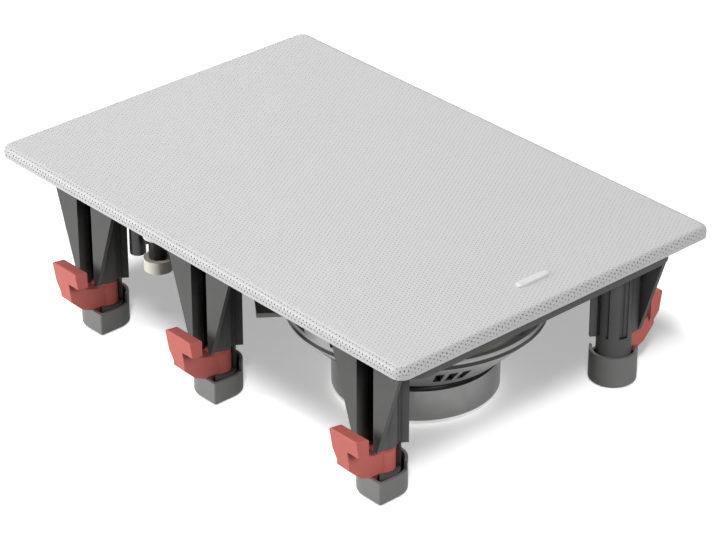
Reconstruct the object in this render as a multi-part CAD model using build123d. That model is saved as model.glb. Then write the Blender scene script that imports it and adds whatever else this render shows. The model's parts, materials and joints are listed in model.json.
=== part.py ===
from build123d import *
import math
import os

# In-wall loudspeaker, in millimetres. The object stands on its six clamp towers with the grille up.
# X runs along the long side (woofer end is +X), Y across, Z from the wall cavity to the room.

# Grille and overall size
GRILLE_LENGTH = 302.0
GRILLE_WIDTH = 206.0
OVERALL_DEPTH = 92.0
GRILLE_RIM = 6.0
GRILLE_SHEET = 0.8
GRILLE_EDGE_RADIUS = 3.0
GRILLE_CORNER_RADIUS = 6.0
GRILLE_CLEARANCE = 0.7
GRILLE_BORDER = 10.0
GRILLE_OPENINGS = (12, 8)
GRILLE_OPEN_SHARE = 0.5

# Badge plate on the grille
BADGE_LENGTH = 20.0
BADGE_WIDTH = 4.4
BADGE_THICKNESS = 0.9
BADGE_EDGE_INSET = 20.4
BADGE_END_RADIUS = 2.0

# Moulded frame: flange, skirt and baffle
FLANGE_THICKNESS = 2.4
FLANGE_LIP = 2.2
SKIRT_END_INSET = 8.0
SKIRT_SIDE_INSET = 14.0
SKIRT_CORNER_RADIUS = 12.0
SKIRT_WALL = 2.5
SKIRT_DROP = 10.2
BAFFLE_THICKNESS = 2.5
RIB_WIDTH = 2.0
RIB_HEIGHT = 5.0

# Clamp towers
TOWER_WOOFER_INSET = 30.8
TOWER_TWEETER_INSET = 43.1
TOWER_MIDDLE_X = -8.7
TOWER_SIDE_INSET = 12.0
TOWER_STAGGER = 1.5
COLUMN_RADIUS = 9.0
COLUMN_WALL = 2.0
SLOT_WIDTH = 11.6
CHEEK_WALL = 2.3
GUSSET_THICKNESS = 2.4
GUSSET_REACH = 11.0
GUSSET_TOP_SPAN = 48.0
GUSSET_LOW_SPAN = 16.4
GUSSET_LOW_Z = 27.0
FIN_ANGLE = 56.0
FIN_REACH = 12.6
FIN_THICKNESS = 2.2
FIN_LOW_Z = 24.5
FLUTE_RADIUS = 0.8
FLUTE_ANGLES = (75.0, 110.0)
GROOVE_RADIUS = 1.3
GROOVE_ANGLES = (15.0, 31.0, 158.0, 173.0)
WINDOW_CLEARANCE = 0.8

# Foot cups pushed on the lower ends of the towers
FOOT_RADIUS = 12.3
FOOT_WALL = 1.5
FOOT_FLOOR = 2.8
FOOT_HIGH_RIM = 17.0
FOOT_LOW_RIM = 12.2
PIVOT_DEPTH = 1.6
PIVOT_GAP = 0.4
FOOT_CHAMFER = 0.8
FOOT_ROUND = 1.5

# Clamp screws and dogs
SCREW_RADIUS = 2.0
SCREW_HEAD_RADIUS = 4.2
SCREW_HEAD_HEIGHT = 2.6
SCREW_CLEARANCE = 0.3
DRIVE_SLOT = 1.2
DRIVE_SHARE = 0.6
DOG_HUB_RADIUS = 6.6
DOG_HUB_LOW_Z = 5.0
DOG_HUB_TOP_Z = 23.0
DOG_ARM_LEFT = 3.5
DOG_ARM_RIGHT = 5.0
DOG_ARM_LOW_Z = 12.6
DOG_HEEL_REACH = 13.0
DOG_KNEE = (18.5, 15.0)
DOG_SADDLE = (12.0, 24.5)
DOG_PAD_ROOT_Z = 28.0
DOG_TIP_LOW_Z = 24.6
DOG_PAD_TOP_Z = 42.0
DOG_PAD_LEFT_LOW_Z = 31.5
DOG_PAD_RIGHT_LOW_Z = 33.0
DOG_REACH = 27.8
DOG_TIP_REACH = 25.4
DOG_PAD_BACK = 21.4
DOG_PAD_LEFT = (6.2, 4.7)
DOG_PAD_RIGHT = (12.6, 14.3)
DOG_ROUND = 0.8

# Woofer
WOOFER_X = 51.5
WOOFER_RADIUS = 83.5
WOOFER_RIM = 2.2
BASKET_TOP_RADIUS = 70.8
BASKET_HOOP_RADIUS = 65.7
BASKET_HOOP_Z = 48.8
BASKET_HOOP_HEIGHT = 3.8
BASKET_BASE_RADIUS = 45.5
BASKET_WALL = 2.6
BASKET_WINDOWS = 6
BASKET_WINDOW_ANGLE = 44.0
BASKET_WINDOW_MARGIN = 1.2
BASKET_HOLE_MARGIN = 8.0
BASKET_VENT_GROUPS = 6
BASKET_VENT_START = -25.5
BASKET_VENT_PITCH = 6.5
BASKET_VENT_ANGLE = 4.2
BASKET_VENT_MARGIN = 2.8
SPIDER_SEAT_RADIUS = 57.0
SPIDER_SEAT_RISE = 0.4
SPIDER_WAVES = 5
SPIDER_WAVE = 1.4
SPIDER_CLOTH = 0.6
SPIDER_EDGE = 5.0
SPIDER_CLEARANCE = 0.3
MOTOR_RADIUS = 42.4
MOTOR_LOW_Z = 0.5
BACK_PLATE = 4.5
MAGNET_HEIGHT = 15.0
MAGNET_BORE_RADIUS = 24.0
TOP_PLATE = 5.0
TOP_PLATE_STEP = 3.0
POLE_RADIUS = 12.0
POLE_VENT_RADIUS = 4.0
COIL_GAP = 0.5
COIL_WALL = 0.8
CONE_RIM_RADIUS = 64.5
CONE_WALL = 1.3
CONE_NECK_RISE = 5.0
CONE_LIP = 3.0
CONE_LIP_BEND = 0.6
CONE_RIM_DROP = 0.3
ROLL_RADIUS = 5.0
ROLL_WALL = 0.8
ROLL_OVERLAP = 1.0
ROLL_LIP = 3.0
ROLL_GLUE = 3.4
DUST_CAP_RADIUS = 21.0
DUST_CAP_RISE = 7.5
DUST_CAP_GAP = 0.1
WOOFER_SCREWS = 4
WOOFER_SCREW_CIRCLE = 80.2
STRIP_ANGLE = 233.0
STRIP_REACH = 14.0
STRIP_HALF = 8.0
STRIP_THICKNESS = 2.4
STRIP_RISE = 0.6
TAB_REACH = 2.5
TAB_THICKNESS = 0.8
TAB_WIDTH = 4.0
TAB_HEIGHT = 4.6
TAB_SPACING = 10.0

# Tweeter
TWEETER_X = -84.0
TWEETER_RADIUS = 44.0
TWEETER_PLATE = 3.0
TWEETER_HOLE_RADIUS = 31.0
DOME_RADIUS = 12.6
DOME_RISE = 5.2
DOME_EDGE = 2.0
DOME_EDGE_THICKNESS = 1.0
HORN_RADIUS = 27.0
HORN_DEPTH = 6.0
HORN_WALL = 2.0
HORN_CLEARANCE = 0.4
TWEETER_MOTOR_RADIUS = 21.0
TWEETER_MOTOR_HEIGHT = 16.0
TWEETER_MOTOR_CHAMFER = 1.5
TWEETER_SCREWS = 4
TWEETER_SCREW_CIRCLE = 37.5

# Small fasteners
FIX_SCREW_RADIUS = 1.6
FIX_HEAD_RADIUS = 2.9
FIX_HEAD_HEIGHT = 1.8
FIX_SCREW_LENGTH = 9.0
FIX_CLEARANCE = 0.1
FIX_END_GAP = 0.5
FIRST_SCREW_ANGLE = 45.0
HEAD_ROUND = 0.45
BOSS_RADIUS = 4.0
BOSS_FLOOR = 2.0
STANDOFF_RADIUS = 3.4

# Crossover board and its components
BOARD_LENGTH = 44.0
BOARD_WIDTH = 48.0
BOARD_THICKNESS = 1.6
BOARD_STANDOFF = 6.0
BOARD_END_INSET = 82.5
BOARD_Y = -57.5
BOARD_HOLE_INSET = 3.6
BOARD_CORNER = 2.0
CASE_ROUND = 1.5
CAN_ROUND = 0.6
COIL_BOBBIN_RADIUS = 7.5
COIL_BOBBIN_FLANGE = 6.6
COIL_WINDING_RADIUS = 4.8
COIL_HEIGHT = 21.7
COIL_CORE_RADIUS = 3.0
COIL_PLACES = ((8.5, -16.0), (-13.5, 9.5))
ELECTROLYTIC_RADIUS = 4.2
ELECTROLYTIC_HEIGHT = 19.2
ELECTROLYTIC_PLACES = ((-7.5, -16.5), (-14.5, -6.0))
FILM_CAP_SIZE = (16.0, 9.0, 14.2)
FILM_CAP_PLACES = ((9.5, 0.5), (9.5, 12.0))
RESISTOR_SIZE = (6.0, 16.0, 10.2)
RESISTOR_PLACE = (-2.4, 13.0)

# Wire terminals
TERMINAL_X = -127.0
TERMINAL_SIZE = (20.0, 34.0, 14.0)
BUTTON_SIZE = (7.0, 11.0)
BUTTON_PROUD = 4.0
BUTTON_TRAVEL = 3.0
BUTTON_CLEARANCE = 0.3
BUTTON_SPACING = 16.0
BUTTON_OFFSET = 3.0
BUTTON_WELL_GAP = 2.0
BUTTON_ROUND = 0.8
WIRE_HOLE_RADIUS = 1.8
WIRE_HOLE_DEPTH = 8.0
WIRE_OFFSET = 6.0

# Magnets that hold the grille
HOLD_MAGNET_RADIUS = 4.0
HOLD_MAGNET_HEIGHT = 2.4
HOLD_MAGNET_SEAT = 1.0
HOLD_MAGNET_X = (-122.0, 0.0, 122.0)

# How far a cutting shape passes the face it cuts
CUT = 1.0

# Levels worked out from the driving sizes
GRILLE_INSIDE_Z = OVERALL_DEPTH - GRILLE_SHEET
FLANGE_LOW_Z = OVERALL_DEPTH - GRILLE_RIM
FLANGE_TOP_Z = FLANGE_LOW_Z + FLANGE_THICKNESS
FLANGE_LIP_Z = GRILLE_INSIDE_Z - GRILLE_EDGE_RADIUS + GRILLE_SHEET
SKIRT_LOW_Z = FLANGE_LOW_Z - SKIRT_DROP
BAFFLE_TOP_Z = SKIRT_LOW_Z + BAFFLE_THICKNESS
FLANGE_LENGTH = GRILLE_LENGTH - 2 * (GRILLE_SHEET + GRILLE_CLEARANCE)
FLANGE_WIDTH = GRILLE_WIDTH - 2 * (GRILLE_SHEET + GRILLE_CLEARANCE)
FLANGE_CORNER = GRILLE_CORNER_RADIUS - GRILLE_SHEET
SKIRT_LENGTH = GRILLE_LENGTH - 2 * SKIRT_END_INSET
SKIRT_WIDTH = GRILLE_WIDTH - 2 * SKIRT_SIDE_INSET
BOARD_X = BOARD_END_INSET - GRILLE_LENGTH / 2
TOWER_X = (SKIRT_LENGTH / 2 - TOWER_WOOFER_INSET, TOWER_MIDDLE_X, TOWER_TWEETER_INSET - SKIRT_LENGTH / 2)
TOWER_Y = SKIRT_WIDTH / 2 - TOWER_SIDE_INSET
COLUMN_BORE = COLUMN_RADIUS - COLUMN_WALL
SLOT_HALF = SLOT_WIDTH / 2
MOTOR_TOP_Z = MOTOR_LOW_Z + BACK_PLATE + MAGNET_HEIGHT + TOP_PLATE
COIL_INNER = POLE_RADIUS + COIL_GAP
COIL_OUTER = COIL_INNER + COIL_WALL
RIM_TOP_Z = BAFFLE_TOP_Z + WOOFER_RIM
HOOP_LOW_Z = BASKET_HOOP_Z - BASKET_HOOP_HEIGHT
SEAT_Z = HOOP_LOW_Z + SPIDER_SEAT_RISE
CONE_NECK_Z = SEAT_Z + CONE_NECK_RISE
CONE_NECK_TOP_Z = CONE_NECK_Z + 1.5 * CONE_WALL
CONE_RIM_Z = RIM_TOP_Z - CONE_RIM_DROP
CONE_LIP_RADIUS = CONE_RIM_RADIUS - CONE_LIP - CONE_LIP_BEND
BOARD_TOP_Z = SKIRT_LOW_Z - BOARD_STANDOFF
BOARD_LOW_Z = BOARD_TOP_Z - BOARD_THICKNESS
TERMINAL_LOW_Z = SKIRT_LOW_Z - TERMINAL_SIZE[2]

STANDING = (Align.CENTER, Align.CENTER, Align.MIN)


def cylinder(radius, low, high):
    """Upright cylinder on the Z axis between two levels."""
    return Pos(0, 0, low) * Cylinder(radius, high - low, align=STANDING)


def tube(outer, inner, low, high):
    """Upright tube on the Z axis between two levels."""
    return cylinder(outer, low, high) - cylinder(inner, low - CUT, high + CUT)


def block(x_range, y_range, z_range):
    """Box between two corners."""
    corner = Pos(x_range[0], y_range[0], z_range[0])
    size = (x_range[1] - x_range[0], y_range[1] - y_range[0], z_range[1] - z_range[0])
    return corner * Box(*size, align=(Align.MIN, Align.MIN, Align.MIN))


def slab(length, width, corner, low, high):
    """Plate with rounded corners between two levels."""
    return extrude(Pos(0, 0, low) * RectangleRounded(length, width, corner), high - low)


def turned(*points):
    """Solid of revolution about Z from a closed outline of radius and height."""
    return revolve(Plane.XZ * Polygon(*points, align=None), Axis.Z)


def around(count, shape, start=0.0):
    """Copies of a shape spaced evenly about Z."""
    return [Rot(0, 0, start + 360.0 * i / count) * shape for i in range(count)]


def tower_places():
    """Place of each tower: three on the near side, three turned round on the far side."""
    near = [Pos(x - TOWER_STAGGER, -TOWER_Y, 0) for x in TOWER_X]
    far = [Pos(x + TOWER_STAGGER, TOWER_Y, 0) * Rot(0, 0, 180) for x in TOWER_X]
    return near + far


def make_grille():
    """Sheet-metal pan with rounded edges and a grid of openings, that drops over the flange."""
    outer = slab(GRILLE_LENGTH, GRILLE_WIDTH, GRILLE_CORNER_RADIUS, FLANGE_LOW_Z, OVERALL_DEPTH)
    outer = fillet(outer.faces().sort_by(Axis.Z)[-1].edges(), GRILLE_EDGE_RADIUS)
    inner_corner = GRILLE_CORNER_RADIUS - GRILLE_SHEET
    inner = slab(GRILLE_LENGTH - 2 * GRILLE_SHEET, GRILLE_WIDTH - 2 * GRILLE_SHEET, inner_corner,
                 FLANGE_LOW_Z - CUT, GRILLE_INSIDE_Z)
    inner = fillet(inner.faces().sort_by(Axis.Z)[-1].edges(), GRILLE_EDGE_RADIUS - GRILLE_SHEET)
    pitch_x = (GRILLE_LENGTH - 2 * GRILLE_BORDER) / GRILLE_OPENINGS[0]
    pitch_y = (GRILLE_WIDTH - 2 * GRILLE_BORDER) / GRILLE_OPENINGS[1]
    opening = Rectangle(GRILLE_OPEN_SHARE * pitch_x, GRILLE_OPEN_SHARE * pitch_y)
    grid = Sketch(children=[place * opening for place in GridLocations(pitch_x, pitch_y, *GRILLE_OPENINGS)])
    return outer - inner - extrude(Pos(0, 0, GRILLE_INSIDE_Z - CUT) * grid, GRILLE_SHEET + 2 * CUT)


def make_badge():
    """Bare plate with rounded ends on the woofer end of the grille."""
    outline = RectangleRounded(BADGE_WIDTH, BADGE_LENGTH, BADGE_END_RADIUS)
    place = Pos(GRILLE_LENGTH / 2 - BADGE_EDGE_INSET, 0, OVERALL_DEPTH)
    return extrude(place * outline, BADGE_THICKNESS)


def make_tower():
    """Clamp tower on its screw axis, slotted towards -Y, with the swing window towards +X and a side fin."""
    tower = tube(COLUMN_RADIUS, COLUMN_BORE, FOOT_FLOOR, SKIRT_LOW_Z)
    window_top = DOG_HUB_TOP_Z + (COLUMN_RADIUS - DOG_HUB_RADIUS) + WINDOW_CLEARANCE
    for radius, angles in ((FLUTE_RADIUS, FLUTE_ANGLES), (GROOVE_RADIUS, GROOVE_ANGLES)):
        for angle in angles:
            tower -= Rot(0, 0, angle) * Pos(COLUMN_RADIUS, 0, 0) * cylinder(radius, window_top, SKIRT_LOW_Z)
    for side in (-1, 1):
        inner = side * SLOT_HALF
        outer = side * (SLOT_HALF + CHEEK_WALL)
        tower += block(sorted((inner, outer)), (-GUSSET_REACH, -COLUMN_BORE / 2), (GUSSET_LOW_Z, SKIRT_LOW_Z))
    half_top = GUSSET_TOP_SPAN / 2
    half_low = GUSSET_LOW_SPAN / 2
    web = Polygon((-half_low, GUSSET_LOW_Z), (half_low, GUSSET_LOW_Z), (half_top, SKIRT_LOW_Z),
                  (-half_top, SKIRT_LOW_Z), align=None)
    web_plane = Plane.XZ.offset(GUSSET_REACH - GUSSET_THICKNESS)
    tower += extrude(web_plane * web, GUSSET_THICKNESS)
    tower -= block((-SLOT_HALF, SLOT_HALF), (-2 * COLUMN_RADIUS, 0), (0, SKIRT_LOW_Z))
    tower -= block((-SLOT_HALF, 2 * COLUMN_RADIUS), (-2 * COLUMN_RADIUS, SLOT_HALF),
                   (FOOT_LOW_RIM, window_top))
    fin = block((COLUMN_RADIUS - COLUMN_WALL / 2, FIN_REACH), (-FIN_THICKNESS / 2, FIN_THICKNESS / 2),
                (FIN_LOW_Z, SKIRT_LOW_Z))
    return tower + Rot(0, 0, FIN_ANGLE) * fin


def screw_hole():
    """Clearance hole for a clamp screw through the baffle."""
    return cylinder(SCREW_RADIUS + SCREW_CLEARANCE, SKIRT_LOW_Z - CUT, BAFFLE_TOP_Z + CUT)


def screw_circle(x, radius, count):
    """Places of screws spaced evenly on a driver's circle."""
    turns = [Rot(0, 0, FIRST_SCREW_ANGLE + 360.0 * i / count) for i in range(count)]
    return [Pos(x, 0, 0) * turn * Pos(radius, 0, 0) for turn in turns]


def woofer_screw_places():
    """Places of the woofer's screws."""
    return screw_circle(WOOFER_X, WOOFER_SCREW_CIRCLE, WOOFER_SCREWS)


def tweeter_screw_places():
    """Places of the tweeter's screws."""
    return screw_circle(TWEETER_X, TWEETER_SCREW_CIRCLE, TWEETER_SCREWS)


def board_screw_places():
    """Places of the board's screws near its corners."""
    across = BOARD_LENGTH / 2 - BOARD_HOLE_INSET
    along = BOARD_WIDTH / 2 - BOARD_HOLE_INSET
    return [Pos(BOARD_X + sx * across, BOARD_Y + sy * along, 0) for sx in (-1, 1) for sy in (-1, 1)]


def hold_magnet_places():
    """Places of the grille magnets on the flange's long sides."""
    row = (FLANGE_WIDTH / 2 + SKIRT_WIDTH / 2) / 2 - FLANGE_LIP / 2
    return [Pos(x, side * row, 0) for side in (-1, 1) for x in HOLD_MAGNET_X]


def make_frame():
    """One moulding: flange with lip, skirt, baffle with ribs and bosses, and six clamp towers."""
    frame = slab(FLANGE_LENGTH, FLANGE_WIDTH, FLANGE_CORNER, FLANGE_LOW_Z, FLANGE_LIP_Z)
    frame -= slab(FLANGE_LENGTH - 2 * FLANGE_LIP, FLANGE_WIDTH - 2 * FLANGE_LIP,
                  FLANGE_CORNER - FLANGE_LIP / 2, FLANGE_TOP_Z, OVERALL_DEPTH)
    frame += slab(SKIRT_LENGTH, SKIRT_WIDTH, SKIRT_CORNER_RADIUS, SKIRT_LOW_Z, FLANGE_TOP_Z)
    frame -= slab(SKIRT_LENGTH - 2 * SKIRT_WALL, SKIRT_WIDTH - 2 * SKIRT_WALL,
                  SKIRT_CORNER_RADIUS - SKIRT_WALL, BAFFLE_TOP_Z, OVERALL_DEPTH)
    magnet_low = GRILLE_INSIDE_Z - HOLD_MAGNET_HEIGHT
    for place in hold_magnet_places():
        frame += place * cylinder(HOLD_MAGNET_RADIUS + HOLD_MAGNET_SEAT, FLANGE_LOW_Z, magnet_low)
    half_length = SKIRT_LENGTH / 2 - SKIRT_WALL
    half_width = SKIRT_WIDTH / 2 - SKIRT_WALL
    rib_z = (SKIRT_LOW_Z - RIB_HEIGHT, SKIRT_LOW_Z)
    for side in (-1, 1):
        rib_y = side * (half_width - RIB_WIDTH)
        frame += block((-half_length + SKIRT_CORNER_RADIUS, half_length - SKIRT_CORNER_RADIUS),
                       (rib_y - RIB_WIDTH / 2, rib_y + RIB_WIDTH / 2), rib_z)
    ring_inner = BASKET_TOP_RADIUS + WINDOW_CLEARANCE
    frame += Pos(WOOFER_X, 0, 0) * tube(ring_inner + RIB_WIDTH, ring_inner, *rib_z)
    frame += Pos(TWEETER_X, 0, 0) * tube(TWEETER_HOLE_RADIUS + RIB_WIDTH, TWEETER_HOLE_RADIUS, *rib_z)
    tower = make_tower()
    for place in tower_places():
        frame += place * tower
    for place in woofer_screw_places() + tweeter_screw_places():
        frame += place * cylinder(BOSS_RADIUS, RIM_TOP_Z - FIX_SCREW_LENGTH - BOSS_FLOOR, SKIRT_LOW_Z)
    for place in board_screw_places():
        frame += place * cylinder(STANDOFF_RADIUS, BOARD_TOP_Z, SKIRT_LOW_Z)
    hole_z = (SKIRT_LOW_Z - RIB_HEIGHT - CUT, BAFFLE_TOP_Z + CUT)
    frame -= Pos(WOOFER_X, 0, 0) * cylinder(ring_inner, *hole_z)
    frame -= Pos(TWEETER_X, 0, 0) * cylinder(TWEETER_HOLE_RADIUS, *hole_z)
    for place in tower_places():
        frame -= place * screw_hole()
        frame -= place * cylinder(COLUMN_BORE, FOOT_FLOOR - CUT, SKIRT_LOW_Z)
        frame -= place * block((-SLOT_HALF, SLOT_HALF), (-GUSSET_REACH, 0), (0, SKIRT_LOW_Z))
    hole = FIX_SCREW_RADIUS + FIX_CLEARANCE
    for place in woofer_screw_places() + tweeter_screw_places():
        frame -= place * cylinder(hole, RIM_TOP_Z - FIX_SCREW_LENGTH - FIX_END_GAP, BAFFLE_TOP_Z + CUT)
    for place in board_screw_places():
        frame -= place * cylinder(hole, BOARD_LOW_Z - CUT, BOARD_LOW_Z + FIX_SCREW_LENGTH + FIX_END_GAP)
    return frame


def foot_outline(radius):
    """Round outline with one square corner, towards +X and -Y."""
    outline = Circle(radius) + Pos(radius / 2, -radius / 2) * Rectangle(radius, radius)
    corner = outline.vertices().sort_by(Axis((0, 0, 0), (1, -1, 0)))[-1]
    return fillet(corner, FOOT_ROUND)


def make_foot():
    """Thin-walled foot cup with one square corner, its rim cut low where the dog's arm swings over it."""
    foot = extrude(foot_outline(FOOT_RADIUS), FOOT_HIGH_RIM)
    foot = chamfer(foot.faces().sort_by(Axis.Z)[0].edges(), FOOT_CHAMFER)
    foot -= extrude(Pos(0, 0, FOOT_FLOOR) * foot_outline(FOOT_RADIUS - FOOT_WALL), FOOT_HIGH_RIM)
    swing_z = (FOOT_LOW_RIM, FOOT_HIGH_RIM + CUT)
    foot -= block((-SLOT_HALF, 2 * FOOT_RADIUS), (-2 * FOOT_RADIUS, SLOT_HALF), swing_z)
    foot -= cylinder(SCREW_RADIUS + SCREW_CLEARANCE, FOOT_FLOOR - PIVOT_DEPTH, FOOT_FLOOR + CUT)
    return foot


def make_clamp_screw():
    """Long clamp screw with a crossed drive, from the baffle's front down to the foot's pivot hole."""
    low = FOOT_FLOOR - PIVOT_DEPTH + PIVOT_GAP
    screw = cylinder(SCREW_RADIUS, low, BAFFLE_TOP_Z)
    screw = chamfer(screw.faces().sort_by(Axis.Z)[0].edges(), SCREW_RADIUS / 3)
    head_top = BAFFLE_TOP_Z + SCREW_HEAD_HEIGHT
    head = cylinder(SCREW_HEAD_RADIUS, BAFFLE_TOP_Z, head_top)
    head = fillet(head.faces().sort_by(Axis.Z)[-1].edges(), SCREW_HEAD_HEIGHT * HEAD_ROUND)
    reach = SCREW_HEAD_RADIUS * DRIVE_SHARE
    depth = (head_top - SCREW_HEAD_HEIGHT * DRIVE_SHARE, head_top + CUT)
    half_slot = DRIVE_SLOT / 2
    head -= block((-reach, reach), (-half_slot, half_slot), depth)
    head -= block((-half_slot, half_slot), (-reach, reach), depth)
    return screw + head


def make_dog_pad():
    """Raised pad of the dog, wider to +X, with its edges rounded."""
    left_front, left_back = DOG_PAD_LEFT
    right_front, right_back = DOG_PAD_RIGHT
    plan = Polygon((-left_front, -DOG_REACH), (right_front, -DOG_REACH), (right_back, -DOG_PAD_BACK),
                   (-left_back, -DOG_PAD_BACK), align=None)
    front = Polygon((-left_front, DOG_PAD_LEFT_LOW_Z), (-DOG_ARM_LEFT, DOG_TIP_LOW_Z),
                    (DOG_ARM_RIGHT, DOG_TIP_LOW_Z), (DOG_ARM_RIGHT, DOG_PAD_RIGHT_LOW_Z),
                    (right_back, DOG_PAD_RIGHT_LOW_Z), (right_back, DOG_PAD_TOP_Z),
                    (-left_front, DOG_PAD_TOP_Z), align=None)
    pad = extrude(plan, DOG_PAD_TOP_Z) & extrude(Plane.XZ * front, 2 * DOG_REACH, both=True)
    return fillet(pad.faces().sort_by(Axis.Z)[-1].edges(), DOG_ROUND)


def make_clamp_dog():
    """Clamp dog pointing to -Y: hub, flat heel, arm rising outwards to its pad, with a drafted front."""
    arm_side = Polygon((0, DOG_ARM_LOW_Z), (-DOG_HEEL_REACH, DOG_ARM_LOW_Z), (-DOG_KNEE[0], DOG_KNEE[1]),
                       (-DOG_REACH, DOG_TIP_LOW_Z), (-DOG_REACH, DOG_PAD_RIGHT_LOW_Z),
                       (-DOG_PAD_BACK, DOG_PAD_RIGHT_LOW_Z), (-DOG_PAD_BACK, DOG_PAD_ROOT_Z),
                       (-DOG_SADDLE[0], DOG_SADDLE[1]), (-DOG_HUB_RADIUS, DOG_HUB_TOP_Z), (0, DOG_HUB_TOP_Z),
                       align=None)
    dog = block((-DOG_ARM_LEFT, DOG_ARM_RIGHT), (-DOG_REACH, 0), (DOG_ARM_LOW_Z, DOG_PAD_TOP_Z))
    dog &= extrude(Plane.YZ * arm_side, DOG_REACH, both=True)
    dog += make_dog_pad()
    dog += cylinder(DOG_HUB_RADIUS, DOG_HUB_LOW_Z, DOG_HUB_TOP_Z)
    draft = Polygon((DOG_REACH, 0), (DOG_REACH, DOG_PAD_TOP_Z), (-DOG_REACH, DOG_PAD_TOP_Z),
                    (-DOG_TIP_REACH, DOG_TIP_LOW_Z), (-DOG_TIP_REACH, 0), align=None)
    dog &= extrude(Plane.YZ * draft, DOG_REACH, both=True)
    return dog - cylinder(SCREW_RADIUS + SCREW_CLEARANCE, 0, DOG_PAD_TOP_Z)


def at_woofer(shape):
    """Put a shape made about the Z axis on the woofer's axis."""
    return Pos(WOOFER_X, 0, 0) * shape


def sector(radius, angle, low, high):
    """Wedge centred on +X, used as a cutter between two levels."""
    half = math.radians(angle / 2)
    x = radius * math.cos(half)
    y = radius * math.sin(half)
    return extrude(Pos(0, 0, low) * Polygon((0, 0), (x, -y), (x, y), align=None), high - low)


def make_basket():
    """Woofer basket: mounting rim, upper windows, hoop, spider seat and vented lower cone."""
    wall = BASKET_WALL
    base_hole = COIL_OUTER + BASKET_HOLE_MARGIN
    basket = turned(
        (BASKET_TOP_RADIUS - wall, RIM_TOP_Z), (WOOFER_RADIUS, RIM_TOP_Z), (WOOFER_RADIUS, BAFFLE_TOP_Z),
        (BASKET_TOP_RADIUS, BAFFLE_TOP_Z), (BASKET_HOOP_RADIUS, BASKET_HOOP_Z),
        (BASKET_HOOP_RADIUS, HOOP_LOW_Z),
        (BASKET_BASE_RADIUS, MOTOR_TOP_Z), (base_hole, MOTOR_TOP_Z), (base_hole, MOTOR_TOP_Z + wall),
        (BASKET_BASE_RADIUS - wall, MOTOR_TOP_Z + wall), (BASKET_HOOP_RADIUS - 2 * wall, SEAT_Z - wall),
        (SPIDER_SEAT_RADIUS, SEAT_Z - wall), (SPIDER_SEAT_RADIUS, SEAT_Z),
        (BASKET_HOOP_RADIUS - wall, SEAT_Z),
        (BASKET_HOOP_RADIUS - wall, BASKET_HOOP_Z))
    reach = 2 * WOOFER_RADIUS
    margin = BASKET_WINDOW_MARGIN
    opening = sector(reach, BASKET_WINDOW_ANGLE, BASKET_HOOP_Z + margin, SKIRT_LOW_Z - margin)
    for window in around(BASKET_WINDOWS, opening):
        basket -= window
    margin = wall + BASKET_VENT_MARGIN
    vent = sector(reach, BASKET_VENT_ANGLE, MOTOR_TOP_Z + margin, SEAT_Z - margin)
    for step in (-1, 0, 1):
        for slot in around(BASKET_VENT_GROUPS, vent, BASKET_VENT_START + step * BASKET_VENT_PITCH):
            basket -= slot
    basket = at_woofer(basket)
    hole = cylinder(FIX_SCREW_RADIUS + FIX_CLEARANCE, BAFFLE_TOP_Z - CUT, RIM_TOP_Z + CUT)
    for place in woofer_screw_places():
        basket -= place * hole
    return basket


def make_back_plate():
    """Steel back plate and pole in one turning, with a vent through the pole."""
    plate_top = MOTOR_LOW_Z + BACK_PLATE
    plate = cylinder(MOTOR_RADIUS, MOTOR_LOW_Z, plate_top)
    plate = chamfer(plate.faces().sort_by(Axis.Z)[0].edges(), BACK_PLATE / 3)
    plate += cylinder(POLE_RADIUS, plate_top, MOTOR_TOP_Z)
    return at_woofer(plate - cylinder(POLE_VENT_RADIUS, MOTOR_LOW_Z - CUT, MOTOR_TOP_Z + CUT))


def make_magnet():
    """Ferrite ring magnet."""
    low = MOTOR_LOW_Z + BACK_PLATE
    return at_woofer(tube(MOTOR_RADIUS, MAGNET_BORE_RADIUS, low, low + MAGNET_HEIGHT))


def make_top_plate():
    """Steel top plate round the voice-coil gap."""
    outer = MOTOR_RADIUS - TOP_PLATE_STEP
    return at_woofer(tube(outer, COIL_OUTER + COIL_GAP, MOTOR_TOP_Z - TOP_PLATE, MOTOR_TOP_Z))


def make_voice_coil():
    """Voice coil and its former."""
    return at_woofer(tube(COIL_OUTER, COIL_INNER, MOTOR_TOP_Z - 2 * TOP_PLATE, CONE_NECK_Z + CONE_WALL))


def make_cone():
    """Paper cone with a flat rim."""
    back_z = CONE_RIM_Z - CONE_WALL
    return at_woofer(turned(
        (COIL_OUTER, CONE_NECK_Z), (CONE_RIM_RADIUS - CONE_LIP, back_z), (CONE_RIM_RADIUS, back_z),
        (CONE_RIM_RADIUS, CONE_RIM_Z), (CONE_LIP_RADIUS, CONE_RIM_Z), (COIL_OUTER, CONE_NECK_TOP_Z)))


def cone_front(radius):
    """Height of the cone's front at a radius."""
    rise = (CONE_RIM_Z - CONE_NECK_TOP_Z) / (CONE_LIP_RADIUS - COIL_OUTER)
    return CONE_NECK_TOP_Z + (radius - COIL_OUTER) * rise


def spherical_cap(radius, rise, low):
    """Solid spherical cap standing on a level, from its base radius and rise."""
    ball_radius = (radius ** 2 + rise ** 2) / (2 * rise)
    ball = Pos(0, 0, low + rise - ball_radius) * Sphere(ball_radius)
    return ball & cylinder(radius, low, low + rise)


def make_dust_cap():
    """Domed cap glued on the cone over the voice coil."""
    edge = cone_front(DUST_CAP_RADIUS) + DUST_CAP_GAP
    cap = spherical_cap(DUST_CAP_RADIUS, DUST_CAP_RISE, edge)
    return at_woofer(cap - Pos(0, 0, -CONE_WALL) * spherical_cap(DUST_CAP_RADIUS, DUST_CAP_RISE, edge))


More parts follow.
